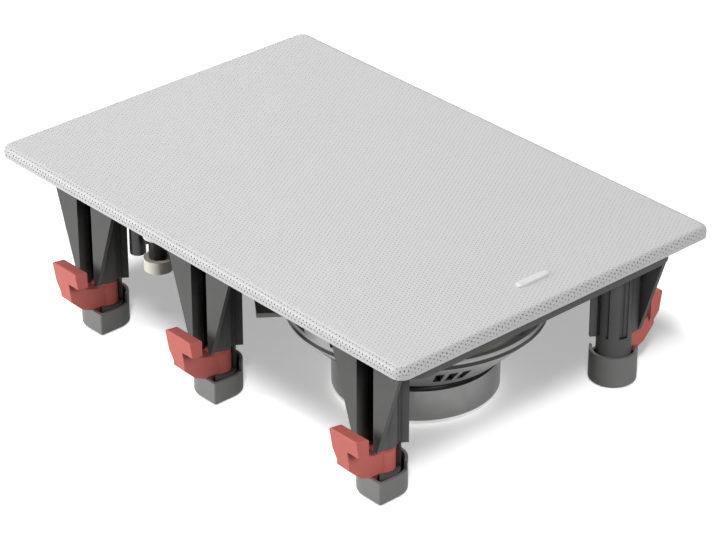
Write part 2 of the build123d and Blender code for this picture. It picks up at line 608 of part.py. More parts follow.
def make_surround():
    """Half-roll surround from the cone's rim to the basket's rim."""
    middle = CONE_RIM_RADIUS - ROLL_OVERLAP + ROLL_RADIUS
    inner_edge = CONE_RIM_RADIUS - ROLL_GLUE
    outer_edge = middle + ROLL_RADIUS + ROLL_LIP
    back = CONE_RIM_Z
    front = CONE_RIM_Z + ROLL_WALL
    rim_back = RIM_TOP_Z
    rim_front = RIM_TOP_Z + ROLL_WALL
    crown = CONE_RIM_Z + ROLL_RADIUS
    roll_front = ThreePointArc((middle - ROLL_RADIUS, front), (middle, crown + ROLL_WALL / 2),
                               (middle + ROLL_RADIUS, rim_front))
    roll_back = ThreePointArc((middle + ROLL_RADIUS - ROLL_WALL, rim_back), (middle, crown - ROLL_WALL / 2),
                              (middle - ROLL_RADIUS + ROLL_WALL, back))
    outline = Polyline((middle - ROLL_RADIUS + ROLL_WALL, back), (inner_edge, back), (inner_edge, front),
                       (middle - ROLL_RADIUS, front))
    outline += roll_front
    outline += Polyline((middle + ROLL_RADIUS, rim_front), (outer_edge, rim_front), (outer_edge, rim_back),
                        (middle + ROLL_RADIUS - ROLL_WALL, rim_back))
    outline += roll_back
    return at_woofer(revolve(Plane.XZ * make_face(outline), Axis.Z))


def make_spider():
    """Corrugated spider between the voice coil and its seat."""
    inner = COIL_OUTER + SPIDER_CLEARANCE
    step = (SPIDER_SEAT_RADIUS - inner) / (2 * SPIDER_WAVES)
    front = SEAT_Z + SPIDER_CLOTH
    upper = [(inner + i * step, front + (i % 2) * SPIDER_WAVE) for i in range(2 * SPIDER_WAVES + 1)]
    upper.append((SPIDER_SEAT_RADIUS + SPIDER_EDGE, front))
    lower = [(radius, z - SPIDER_CLOTH) for radius, z in reversed(upper)]
    return at_woofer(turned(*(upper + lower)))


def make_terminal_tabs():
    """Fibre strip with two solder tabs on the basket's hoop."""
    low = HOOP_LOW_Z + STRIP_RISE
    top = low + STRIP_THICKNESS
    strip = block((0, BASKET_HOOP_RADIUS + STRIP_REACH), (-STRIP_HALF, STRIP_HALF), (low, top))
    tab_x = BASKET_HOOP_RADIUS + TAB_REACH
    for side in (-1, 1):
        tab_y = side * TAB_SPACING / 2
        strip += block((tab_x, tab_x + TAB_THICKNESS), (tab_y - TAB_WIDTH / 2, tab_y + TAB_WIDTH / 2),
                       (top, top + TAB_HEIGHT))
    strip -= cylinder(BASKET_HOOP_RADIUS, low - CUT, top + CUT)
    return at_woofer(Rot(0, 0, STRIP_ANGLE) * strip)


def fix_screw(seat_z):
    """Small pan-head screw with its head seated at a level and its shank down."""
    head = cylinder(FIX_HEAD_RADIUS, seat_z, seat_z + FIX_HEAD_HEIGHT)
    head = fillet(head.faces().sort_by(Axis.Z)[-1].edges(), FIX_HEAD_HEIGHT * HEAD_ROUND)
    return head + cylinder(FIX_SCREW_RADIUS, seat_z - FIX_SCREW_LENGTH, seat_z)


def tweeter_motor_top():
    """Level where the tweeter's motor meets the back of the horn."""
    return BAFFLE_TOP_Z + TWEETER_PLATE - HORN_DEPTH - HORN_WALL


def make_tweeter_plate():
    """Tweeter faceplate with a shallow horn round the dome."""
    low = BAFFLE_TOP_Z
    top = BAFFLE_TOP_Z + TWEETER_PLATE
    throat = DOME_RADIUS + DOME_EDGE + HORN_CLEARANCE
    plate = turned(
        (HORN_RADIUS, top), (TWEETER_RADIUS, top), (TWEETER_RADIUS, low), (HORN_RADIUS + HORN_WALL, low),
        (throat + HORN_WALL, tweeter_motor_top()), (throat, tweeter_motor_top()), (throat, top - HORN_DEPTH))
    plate = Pos(TWEETER_X, 0, 0) * plate
    hole = cylinder(FIX_SCREW_RADIUS + FIX_CLEARANCE, low - CUT, top + CUT)
    for place in tweeter_screw_places():
        plate -= place * hole
    return plate


def make_tweeter_dome():
    """Soft dome with its flat edge, seated on the motor."""
    low = tweeter_motor_top()
    dome = cylinder(DOME_RADIUS + DOME_EDGE, low, low + DOME_EDGE_THICKNESS)
    dome += spherical_cap(DOME_RADIUS, DOME_RISE, low + DOME_EDGE_THICKNESS)
    return Pos(TWEETER_X, 0, 0) * dome


def make_tweeter_motor():
    """Tweeter motor: magnet cup closed by its plate, screwed up under the faceplate."""
    top = tweeter_motor_top()
    motor = cylinder(TWEETER_MOTOR_RADIUS, top - TWEETER_MOTOR_HEIGHT, top)
    motor = chamfer(motor.faces().sort_by(Axis.Z)[0].edges(), TWEETER_MOTOR_CHAMFER)
    return Pos(TWEETER_X, 0, 0) * motor


def make_board():
    """Crossover circuit board hung under the baffle on its stand-offs."""
    board = Pos(BOARD_X, BOARD_Y, 0) * slab(BOARD_LENGTH, BOARD_WIDTH, BOARD_CORNER, BOARD_LOW_Z, BOARD_TOP_Z)
    hole = cylinder(FIX_SCREW_RADIUS + FIX_CLEARANCE, BOARD_LOW_Z - CUT, BOARD_TOP_Z + CUT)
    for place in board_screw_places():
        board -= place * hole
    return board


def on_board(places, shape):
    """Copies of a hanging component at places on the board."""
    return [Pos(BOARD_X + x, BOARD_Y + y, BOARD_LOW_Z) * shape for x, y in places]


def make_coil_bobbins():
    """Cream bobbins of the crossover's coils: a core between two flanges."""
    low = -COIL_HEIGHT
    bobbin = cylinder(COIL_CORE_RADIUS, low, 0)
    bobbin += cylinder(COIL_BOBBIN_RADIUS, low, low + COIL_BOBBIN_FLANGE)
    bobbin += cylinder(COIL_BOBBIN_RADIUS, -COIL_BOBBIN_FLANGE / 2, 0)
    return on_board(COIL_PLACES, bobbin)


def make_coil_windings():
    """Enamelled windings of the crossover's coils."""
    low = -COIL_HEIGHT + COIL_BOBBIN_FLANGE
    winding = tube(COIL_WINDING_RADIUS, COIL_CORE_RADIUS, low, -COIL_BOBBIN_FLANGE / 2)
    return on_board(COIL_PLACES, winding)


def make_electrolytics():
    """Black can capacitors hanging from the board."""
    can = cylinder(ELECTROLYTIC_RADIUS, -ELECTROLYTIC_HEIGHT, 0)
    can = fillet(can.faces().sort_by(Axis.Z)[0].edges(), CAN_ROUND)
    return on_board(ELECTROLYTIC_PLACES, can)


def make_film_capacitors():
    """Film capacitors with rounded cases."""
    length, width, height = FILM_CAP_SIZE
    case = Pos(0, 0, -height) * Box(length, width, height, align=STANDING)
    case = fillet(case.edges().filter_by(Axis.Z), CASE_ROUND)
    return on_board(FILM_CAP_PLACES, case)


def make_resistor():
    """Cement resistor on the board."""
    width, length, height = RESISTOR_SIZE
    case = Pos(0, 0, -height) * Box(width, length, height, align=STANDING)
    return on_board((RESISTOR_PLACE,), chamfer(case.edges().filter_by(Axis.Y), CAN_ROUND))


def board_screw():
    """Board screw with its head below the board and its shank up in the stand-off."""
    head = cylinder(FIX_HEAD_RADIUS, BOARD_LOW_Z - FIX_HEAD_HEIGHT, BOARD_LOW_Z)
    head = fillet(head.faces().sort_by(Axis.Z)[0].edges(), FIX_HEAD_HEIGHT * HEAD_ROUND)
    return head + cylinder(FIX_SCREW_RADIUS, BOARD_LOW_Z, BOARD_LOW_Z + FIX_SCREW_LENGTH)


def make_terminal_block():
    """Push-terminal block under the baffle, with a well for each button and a wire hole beside it."""
    body = Pos(TERMINAL_X, 0, TERMINAL_LOW_Z) * Box(*TERMINAL_SIZE, align=STANDING)
    body = fillet(body.edges().filter_by(Axis.Z), CASE_ROUND)
    well_length = BUTTON_SIZE[0] + 2 * BUTTON_CLEARANCE
    well_width = BUTTON_SIZE[1] + 2 * BUTTON_CLEARANCE
    well_depth = BUTTON_PROUD + BUTTON_TRAVEL + BUTTON_WELL_GAP
    well = Box(well_length, well_width, well_depth + CUT, align=STANDING)
    hole = cylinder(WIRE_HOLE_RADIUS, 0, WIRE_HOLE_DEPTH + CUT)
    for side in (-1, 1):
        middle = side * BUTTON_SPACING / 2
        body -= Pos(TERMINAL_X + BUTTON_OFFSET, middle, TERMINAL_LOW_Z - CUT) * well
        body -= Pos(TERMINAL_X - WIRE_OFFSET, middle, TERMINAL_LOW_Z - CUT) * hole
    return body


def make_button(side):
    """Push button of one wire terminal, standing proud of the block's underside."""
    cap = Box(*BUTTON_SIZE, 2 * BUTTON_PROUD, align=STANDING)
    cap = fillet(cap.faces().sort_by(Axis.Z)[0].edges(), BUTTON_ROUND)
    return Pos(TERMINAL_X + BUTTON_OFFSET, side * BUTTON_SPACING / 2, TERMINAL_LOW_Z - BUTTON_PROUD) * cap


def make_hold_magnets():
    """Disc magnets on the flange that hold the grille."""
    disc = cylinder(HOLD_MAGNET_RADIUS, GRILLE_INSIDE_Z - HOLD_MAGNET_HEIGHT, GRILLE_INSIDE_Z)
    return [place * disc for place in hold_magnet_places()]


def save(node, shape):
    """Write one node: a solid, or a group of separate like solids."""
    if isinstance(shape, list):
        shape = Compound(children=[Solid(piece.solid().wrapped) for piece in shape])
    export_step(shape, os.path.join("parts", node + ".step"))


def main():
    os.makedirs("parts", exist_ok=True)
    save("grille", make_grille())
    save("badge_plate", make_badge())
    save("frame", make_frame())
    save("grille_magnets", make_hold_magnets())
    save("woofer_basket", make_basket())
    save("woofer_back_plate", make_back_plate())
    save("woofer_magnet", make_magnet())
    save("woofer_top_plate", make_top_plate())
    save("woofer_voice_coil", make_voice_coil())
    save("woofer_cone", make_cone())
    save("woofer_dust_cap", make_dust_cap())
    save("woofer_surround", make_surround())
    save("woofer_spider", make_spider())
    save("woofer_terminals", make_terminal_tabs())
    save("woofer_screws", [place * fix_screw(RIM_TOP_Z) for place in woofer_screw_places()])
    save("tweeter_faceplate", make_tweeter_plate())
    save("tweeter_dome", make_tweeter_dome())
    save("tweeter_motor", make_tweeter_motor())
    tweeter_seat = BAFFLE_TOP_Z + TWEETER_PLATE
    save("tweeter_screws", [place * fix_screw(tweeter_seat) for place in tweeter_screw_places()])
    save("crossover_board", make_board())
    save("board_screws", [place * board_screw() for place in board_screw_places()])
    save("coil_bobbins", make_coil_bobbins())
    save("coil_windings", make_coil_windings())
    save("can_capacitors", make_electrolytics())
    save("film_capacitors", make_film_capacitors())
    save("cement_resistor", make_resistor())
    save("terminal_block", make_terminal_block())
    save("terminal_button_red", make_button(1))
    save("terminal_button_black", make_button(-1))
    foot = make_foot()
    screw = make_clamp_screw()
    dog = make_clamp_dog()
    for number, place in enumerate(tower_places(), 1):
        save(f"foot_cup_{number}", place * foot)
        save(f"clamp_screw_{number}", place * screw)
        save(f"clamp_dog_{number}", place * dog)


if __name__ == "__main__":
    main()
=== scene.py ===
"""Looks of the in wall speaker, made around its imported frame. Lengths are in metres."""

import json
import math

import bpy
import numpy as np
from bpy.props import FloatProperty, FloatVectorProperty, IntProperty, PointerProperty
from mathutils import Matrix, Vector


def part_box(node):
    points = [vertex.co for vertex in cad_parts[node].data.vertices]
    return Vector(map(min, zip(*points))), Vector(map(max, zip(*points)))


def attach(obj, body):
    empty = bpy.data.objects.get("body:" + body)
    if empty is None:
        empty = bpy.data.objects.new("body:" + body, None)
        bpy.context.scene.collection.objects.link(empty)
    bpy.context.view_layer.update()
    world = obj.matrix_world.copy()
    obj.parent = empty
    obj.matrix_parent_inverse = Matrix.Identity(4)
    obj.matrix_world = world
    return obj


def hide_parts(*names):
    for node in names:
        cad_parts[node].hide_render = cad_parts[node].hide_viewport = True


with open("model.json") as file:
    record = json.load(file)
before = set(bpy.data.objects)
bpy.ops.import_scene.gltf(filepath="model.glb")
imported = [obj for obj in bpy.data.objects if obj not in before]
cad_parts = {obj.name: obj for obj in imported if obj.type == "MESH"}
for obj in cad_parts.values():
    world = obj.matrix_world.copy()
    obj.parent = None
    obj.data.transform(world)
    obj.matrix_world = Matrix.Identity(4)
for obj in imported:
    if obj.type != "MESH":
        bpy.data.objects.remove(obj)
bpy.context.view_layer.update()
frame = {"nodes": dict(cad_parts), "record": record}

bl_info = {
    "name": "In Wall Speaker",
    "version": (1, 0, 0),
    "blender": (4, 5, 0),
    "location": "3D View > Sidebar > Speaker",
    "description": "Grille, threads, finishes and studio of an in wall speaker",
    "category": "Object",
}

TOWERS = (1, 2, 3, 4, 5, 6)
NODE_SLOT = {row["node"]: row["material_slot"] for row in frame["record"]["subparts"]}

# Steps of the meshes
CELL_SIDES = 6
CORNER_STEPS = 12
BADGE_CORNER_STEPS = 10
BADGE_ROUND_STEPS = 6

# Grille: smallest lengths told apart, and the share of the pitch within which cell corners are one
TINY = 1e-6
LEAST_RUN = 1e-9
CORNER_MATCH = 0.05

# Badge: corner and flat top as shares of its half width, and its smallest corner
BADGE_CORNER_SHARE = 0.9
BADGE_TOP_SHARE = 0.6
BADGE_LEAST_CORNER = 0.0003

# Threads: plain turns at the tip, upper end over the frame's lowest point, half a ridge's foot in pitches
THREAD_PLAIN_TURNS = 2
THREAD_TOP = 0.070
THREAD_FLANK = 0.42

# Bands of colour on the woofer, among them a painted shade band on the hoop and a painted highlight on the
# back plate's lower edge: heights, and colours or shares of the coat's colour
HOOP_SHADE_HEIGHT = 0.0022
HOOP_SHADE_TONE = 0.05
EDGE_HIGHLIGHT_HEIGHT = 0.0028
EDGE_HIGHLIGHT = (0.97, 0.97, 0.96)
SEAM_BLACK = (0.012, 0.012, 0.012)
SOFT_STEP = 0.0002

# Painted shade in gaps: openness from darkest to plain, light and colour of the darkest, samples, reach on
# the basket
GAP_SHADE_RANGE = (0.35, 0.92)
GAP_SHADE_LIGHT = 0.03
GAP_SHADE_COLOUR = (0.0, 0.0, 0.0)
GAP_SHADE_SAMPLES = 6
BASKET_SHADE_REACH = 0.006

# Length of one wave of the Wave texture at a scale of 1, and the scale of the rings left by turning
WAVE_LENGTH = 0.314
TURNING_SCALE = 260.0

# Colours of the pieces behind the grille, linear red, green and blue
ZINC = (0.62, 0.61, 0.57)
BLACK_OXIDE = (0.03, 0.03, 0.032)
NICKEL = (0.72, 0.71, 0.68)
COPPER = (0.62, 0.30, 0.15)
CONE_PULP = (0.07, 0.07, 0.072)
RUBBER = (0.025, 0.025, 0.026)
SPIDER_CLOTH = (0.80, 0.76, 0.64)
DRIVER_PLASTIC = (0.035, 0.035, 0.036)
DOME_CLOTH = (0.05, 0.05, 0.05)
LAMINATE = (0.03, 0.032, 0.028)
COIL_ENAMEL = (0.022, 0.018, 0.015)
CAN_SLEEVE = (0.02, 0.02, 0.022)
CEMENT = (0.72, 0.71, 0.68)
BUTTON_RED = (0.55, 0.04, 0.035)
BUTTON_BLACK = (0.02, 0.02, 0.02)

# Studio
WHITE = (1.0, 1.0, 1.0, 1.0)
SENSOR = 36.0
CAMERA_REACH = 50.0
FLOOR_HALF = 6.0
FLOOR_LEVEL = -0.0004
FLOOR_ROUGHNESS = 0.9
FLOOR_SHINE = 0.1
LAMP_AIM = Vector((0.03, 0.0, 0.05))
FLOOR_LAMP_SIZE = 0.72
FLOOR_LAMPS = {"floor_near": (1.83, -1.72, 3.20), "floor_left": (-0.55, -1.45, 3.70)}
OBJECT_LAMP_SIZE = 0.8
OBJECT_LAMPS = {"back": (-1.10, 0.70, 1.55), "side": (-1.10, -1.60, 0.45), "fill": (1.75, -0.43, 1.18)}


def colour_property(name, description, default):
    """Colour setting with linear red, green and blue."""
    return FloatVectorProperty(name=name, description=description, default=default, subtype="COLOR",
                               min=0.0, max=1.0)


def length_property(name, description, default):
    """Length setting in metres."""
    return FloatProperty(name=name, description=description, default=default, unit="LENGTH")


def power_property(name, description, default):
    """Lamp power setting in watts."""
    return FloatProperty(name=name, description=description, default=default, unit="POWER")


def place_property(name, description, default):
    """Place setting in metres."""
    return FloatVectorProperty(name=name, description=description, default=default, subtype="TRANSLATION",
                               unit="LENGTH")


class SpeakerGrilleSettings(bpy.types.PropertyGroup):
    """Sizes of the perforated grille and its badge."""

    pitch: length_property("Hole pitch", "Distance between the centres of neighbouring holes", 0.00226)
    hole: length_property("Hole radius", "Radius of one hole", 0.0003)
    stretch: FloatProperty(name="Fold stretch", default=1.55, min=1.0,
                           description="How much wider the holes are where the sheet is folded")
    sheet: length_property("Sheet", "Thickness of the grille's sheet", 0.0008)
    corner: length_property("Corner radius", "Radius of the grille's corners seen from the front", 0.006)
    edge: length_property("Edge radius", "Radius of the fold along the grille's edges", 0.003)
    border: length_property("Plain border", "Width without holes along the lower edge", 0.0006)
    badge_round: length_property("Badge edge", "Radius of the badge's upper edge", 0.0003)


class SpeakerScrewSettings(bpy.types.PropertyGroup):
    """Sizes of the clamp screws' threads."""

    pitch: length_property("Thread pitch", "Rise of the thread in one turn", 0.0014)
    core: length_property("Root radius", "Radius at the thread's root", 0.00195)
    crest: length_property("Crest radius", "Radius at the thread's crest", 0.00222)
    steps: IntProperty(name="Steps a turn", default=18, min=8,
                       description="Segments in one turn of the thread")


class SpeakerFinishSettings(bpy.types.PropertyGroup):
    """Main colours of the speaker."""

    grille: colour_property("Grille", "Powder coat of the grille", (0.67, 0.67, 0.672))
    badge: colour_property("Badge", "Bare badge plate", (0.82, 0.82, 0.82))
    frame: colour_property("Frame", "Moulded frame with its towers", (0.155, 0.156, 0.154))
    foot: colour_property("Foot", "Foot cups", (0.275, 0.275, 0.271))
    dog: colour_property("Dog", "Clamp dogs", (0.71, 0.188, 0.162))
    basket: colour_property("Basket", "Woofer basket", (0.30, 0.30, 0.297))
    ferrite: colour_property("Ferrite", "Woofer magnet", (0.24, 0.24, 0.238))
    cream: colour_property("Cream", "Bobbins and fibre strip", (0.90, 0.89, 0.79))


class SpeakerStageSettings(bpy.types.PropertyGroup):
    """Camera, lamps and floor."""

    eye: place_property("Camera", "Place of the camera", (1.00834, -0.90165, 0.80183))
    target: place_property("Target", "Point in the middle of the picture", (0.069033, -0.054748, 0.092))
    focal: FloatProperty(name="Focal length", description="Focal length in picture widths", default=4.284)
    ambient: FloatProperty(name="Ambient", description="Strength of the light from all round", default=0.05)
    floor_key: power_property("Floor keys", "Power of each of the two lamps that light the floor", 124.0)
    back: power_property("Back", "Power of the lamp above and behind", 18.6)
    side: power_property("Side", "Power of the low lamp on the left", 33.5)
    fill: power_property("Fill", "Power of the weaker lamp on the right", 23.0)
    floor_glow: FloatProperty(name="Floor glow", default=0.385,
                              description="Light added to the floor where it is seen")
    floor_bounce: FloatProperty(name="Floor bounce", default=0.12, min=0.0, max=1.0,
                                description="Share of light that the floor throws on the speaker")


# Meshes

def mesh_object(name, vertices, quads, triangles=None, smooth=True):
    """New mesh object at the origin from arrays of vertices, quads and triangles."""
    triangles = np.zeros((0, 3), int) if triangles is None else triangles
    mesh = bpy.data.meshes.new(name)
    corners = np.concatenate([np.ravel(quads), np.ravel(triangles)]).astype(np.int32)
    counts = np.concatenate([np.full(len(quads), 4), np.full(len(triangles), 3)]).astype(np.int32)
    starts = np.concatenate([[0], np.cumsum(counts)[:-1]]).astype(np.int32)
    mesh.vertices.add(len(vertices))
    mesh.vertices.foreach_set("co", np.ravel(vertices).astype(np.float32))
    mesh.loops.add(len(corners))
    mesh.loops.foreach_set("vertex_index", corners)
    mesh.polygons.add(len(counts))
    mesh.polygons.foreach_set("loop_start", starts)
    mesh.polygons.foreach_set("loop_total", counts)
    mesh.polygons.foreach_set("use_smooth", np.full(len(counts), smooth))
    mesh.update(calc_edges=True)
    mesh.validate()
    piece = bpy.data.objects.new(name, mesh)
    bpy.context.scene.collection.objects.link(piece)
    return piece


def grid_quads(rows, columns, wrap_columns=False):
    """Quads of a grid of rows times columns vertices, with its columns closed to a ring where asked."""
    i = np.arange(rows - 1)
    j = np.arange(columns if wrap_columns else columns - 1)
    i, j = np.meshgrid(i, j, indexing="ij")
    j_next = (j + 1) % columns
    quads = [i * columns + j, i * columns + j_next, (i + 1) * columns + j_next, (i + 1) * columns + j]
    return np.stack(quads, axis=-1).reshape(-1, 4)


def band_quads(first, second):
    """Quads between two closed rings of vertex numbers, for each row of the two arrays."""
    quads = [first, np.roll(first, -1, 1), np.roll(second, -1, 1), second]
    return np.stack(quads, axis=-1).reshape(-1, 4)


def rounded_outline(half_x, half_y, radius, steps):
    """Rounded rectangle, anticlockwise: corner centres plus radius times (cos, sin) over a quarter turn."""
    angles = np.linspace(0, math.pi / 2, steps)
    turns = (np.arange(4)[:, None] * math.pi / 2 + angles).ravel()
    sign_x = np.repeat([1, -1, -1, 1], steps)
    sign_y = np.repeat([1, 1, -1, -1], steps)
    x = sign_x * (half_x - radius) + radius * np.cos(turns)
    y = sign_y * (half_y - radius) + radius * np.sin(turns)
    return np.stack([x, y], axis=-1)


class FoldedSheet:
    """The grille's blank, folded down along its edges."""

    def __init__(self, settings):
        low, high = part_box("grille")
        self.core = np.array([high.x - settings.corner, high.y - settings.corner])
        self.top = high.z
        self.edge = settings.edge
        self.flat_run = settings.corner - settings.edge
        self.arc_run = settings.edge * math.pi / 2
        self.reach = self.flat_run + self.arc_run + high.z - settings.edge - low.z

    def run(self, blank):
        """Distance of a point of the blank from the core rectangle, which lies a corner radius inside."""
        return np.linalg.norm(blank - np.clip(blank, -self.core, self.core), axis=-1)

    def fold(self, blank, depth=0.0):
        """Place of a point of the blank: with s its distance from the core rectangle, it stays flat over the
        flat run, follows a quarter circle of the edge radius less depth, and then goes straight down."""
        near = np.clip(blank, -self.core, self.core)
        offset = blank - near
        s = np.linalg.norm(offset, axis=-1)
        direction = offset / np.maximum(s, LEAST_RUN)[..., None]
        s = np.minimum(s, self.reach)
        angle = np.clip((s - self.flat_run) / self.edge, 0, math.pi / 2)
        drop = np.maximum(s - self.flat_run - self.arc_run, 0)
        radius = np.minimum(s, self.flat_run) + (self.edge - depth) * np.sin(angle)
        z = self.top - self.edge + (self.edge - depth) * np.cos(angle) - drop
        return np.concatenate([near + direction * radius[..., None], z[..., None]], axis=-1)


def hexagon_lattice(sheet, pitch):
    """Centres of staggered rows of holes over the blank, every other row half a pitch to the side."""
    half = sheet.core + sheet.reach
    row_step = pitch * math.sqrt(3) / 2
    rows = int(half[1] / row_step) + 1
    columns = int(half[0] / pitch) + 2
    j, i = np.meshgrid(np.arange(-rows, rows + 1), np.arange(-columns, columns + 1), indexing="ij")
    x = (i + 0.5 * (j % 2)) * pitch
    y = j * row_step
    centres = np.stack([x.ravel(), y.ravel()], axis=-1)
    return centres[sheet.run(centres) < sheet.reach + pitch / 2]


def perforated_sheet(settings):
    """Face of the grille and the walls of its holes.

    Each hole has a cell with six corners at pitch over root three; a ring of six quads joins the corners to
    the hole's edge, and a wall goes down from the edge through the sheet."""
    sheet = FoldedSheet(settings)
    centres = hexagon_lattice(sheet, settings.pitch)
    angles = math.radians(30) + np.arange(CELL_SIDES) * 2 * math.pi / CELL_SIDES
    spokes = np.stack([np.cos(angles), np.sin(angles)], axis=-1)
    corners = centres[:, None, :] + spokes * settings.pitch / math.sqrt(3)
    inside = (sheet.run(corners) < sheet.reach - TINY).any(axis=1)
    centres = centres[inside]
    corners = corners[inside]
    keys = np.round(corners.reshape(-1, 2) / (settings.pitch * CORNER_MATCH)).astype(int)
    first, shared = np.unique(keys, axis=0, return_index=True, return_inverse=True)[1:]
    shared = shared.reshape(-1, CELL_SIDES)
    corner_points = sheet.fold(corners.reshape(-1, 2)[first])
    is_open = sheet.run(centres) + settings.stretch * settings.hole + settings.border < sheet.reach
    folded = np.clip((sheet.run(centres[is_open]) - sheet.flat_run) / sheet.edge, 0, 1)
    radii = settings.hole * (1 + (settings.stretch - 1) * folded)
    rims = centres[is_open][:, None, :] + spokes * radii[:, None, None]
    rim_points = sheet.fold(rims).reshape(-1, 3)
    floor_points = sheet.fold(rims, settings.sheet).reshape(-1, 3)
    rim_index = np.arange(len(rim_points)).reshape(-1, CELL_SIDES)
    ring = band_quads(shared[is_open], rim_index + len(corner_points))
    plain = shared[~is_open]
    halves = np.concatenate([plain[:, [0, 1, 2, 3]], plain[:, [0, 3, 4, 5]]])
    face_points = np.concatenate([corner_points, rim_points])
    face = mesh_object("grille_face", face_points, np.concatenate([ring, halves]))
    walls = band_quads(rim_index, rim_index + len(rim_points))
    hem_points, hem_quads = grille_hem(settings)
    points = np.concatenate([rim_points, floor_points, hem_points])
    quads = np.concatenate([walls, hem_quads + 2 * len(rim_points)])
    return face, mesh_object("grille_hole_walls", points, quads)


def grille_hem(settings):
    """Lower edge and inner side of the folded rim: three rings of the rounded outline, the first on the outer
    side, the others a sheet thickness inside and up to the fold."""
    low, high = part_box("grille")
    levels = (low.z, low.z, high.z - settings.edge)
    insets = (0.0, settings.sheet, settings.sheet)
    rings = []
    for level, inset in zip(levels, insets):
        outline = rounded_outline(high.x - inset, high.y - inset, settings.corner - inset, CORNER_STEPS)
        rings.append(np.column_stack([outline, np.full(len(outline), level)]))
    return np.concatenate(rings), grid_quads(len(rings), len(rings[0]), wrap_columns=True)[:, ::-1]


def crowned_badge(settings):
    """Badge plate: its rounded outline rises, turns over a quarter circle and closes in a flat top."""
    low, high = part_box("badge_plate")
    middle = (low + high) / 2
    half = (high - low) / 2
    corner = half.x * BADGE_CORNER_SHARE
    turn = np.linspace(0, math.pi / 2, BADGE_ROUND_STEPS)
    insets = np.concatenate([[0.0], settings.badge_round * (1 - np.cos(turn)), [half.x * BADGE_TOP_SHARE]])
    levels = np.concatenate([[low.z], high.z - settings.badge_round * (1 - np.sin(turn)), [high.z]])
    rings = []
    for inset, level in zip(insets, levels):
        radius = max(corner - inset, BADGE_LEAST_CORNER)
        outline = rounded_outline(half.x - inset, half.y - inset, radius, BADGE_CORNER_STEPS)
        rings.append(np.column_stack([outline + [middle.x, middle.y], np.full(len(outline), level)]))
    count = len(rings[0])
    points = np.concatenate(rings + [[[middle.x, middle.y, high.z]]])
    last = (len(rings) - 1) * count + np.arange(count)
    fan = np.stack([last, np.roll(last, -1), np.full(count, len(points) - 1)], axis=-1)
    return mesh_object("badge_crown", points, grid_quads(len(rings), count, wrap_columns=True), fan)


def screw_thread(number, settings):
    """Ridge of one clamp screw: a triangle carried up a helix, running out to the root at both ends."""
    low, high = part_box(f"clamp_screw_{number}")
    middle = (low + high) / 2
    bottom = low.z + THREAD_PLAIN_TURNS * settings.pitch
    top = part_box("frame")[0].z + THREAD_TOP
    turns = (top - bottom) / settings.pitch
    count = int(turns * settings.steps) + 1
    angle = np.linspace(0, turns * 2 * math.pi, count)
    fade = np.clip(np.minimum(angle, angle[-1] - angle) / math.pi, 0, 1)
    crest = settings.core + (settings.crest - settings.core) * fade
    radii = np.stack([np.full(count, settings.core), crest, np.full(count, settings.core)], axis=-1)
    flanks = np.array([-THREAD_FLANK, 0.0, THREAD_FLANK]) * settings.pitch
    rise = angle[:, None] / (2 * math.pi) * settings.pitch + flanks
    x = middle.x + radii * np.cos(angle)[:, None]
    y = middle.y + radii * np.sin(angle)[:, None]
    points = np.stack([x, y, bottom + rise], axis=-1).reshape(-1, 3)
    return mesh_object(f"clamp_thread_{number}", points, grid_quads(count, 3)[:, ::-1], smooth=False)


# Finishes

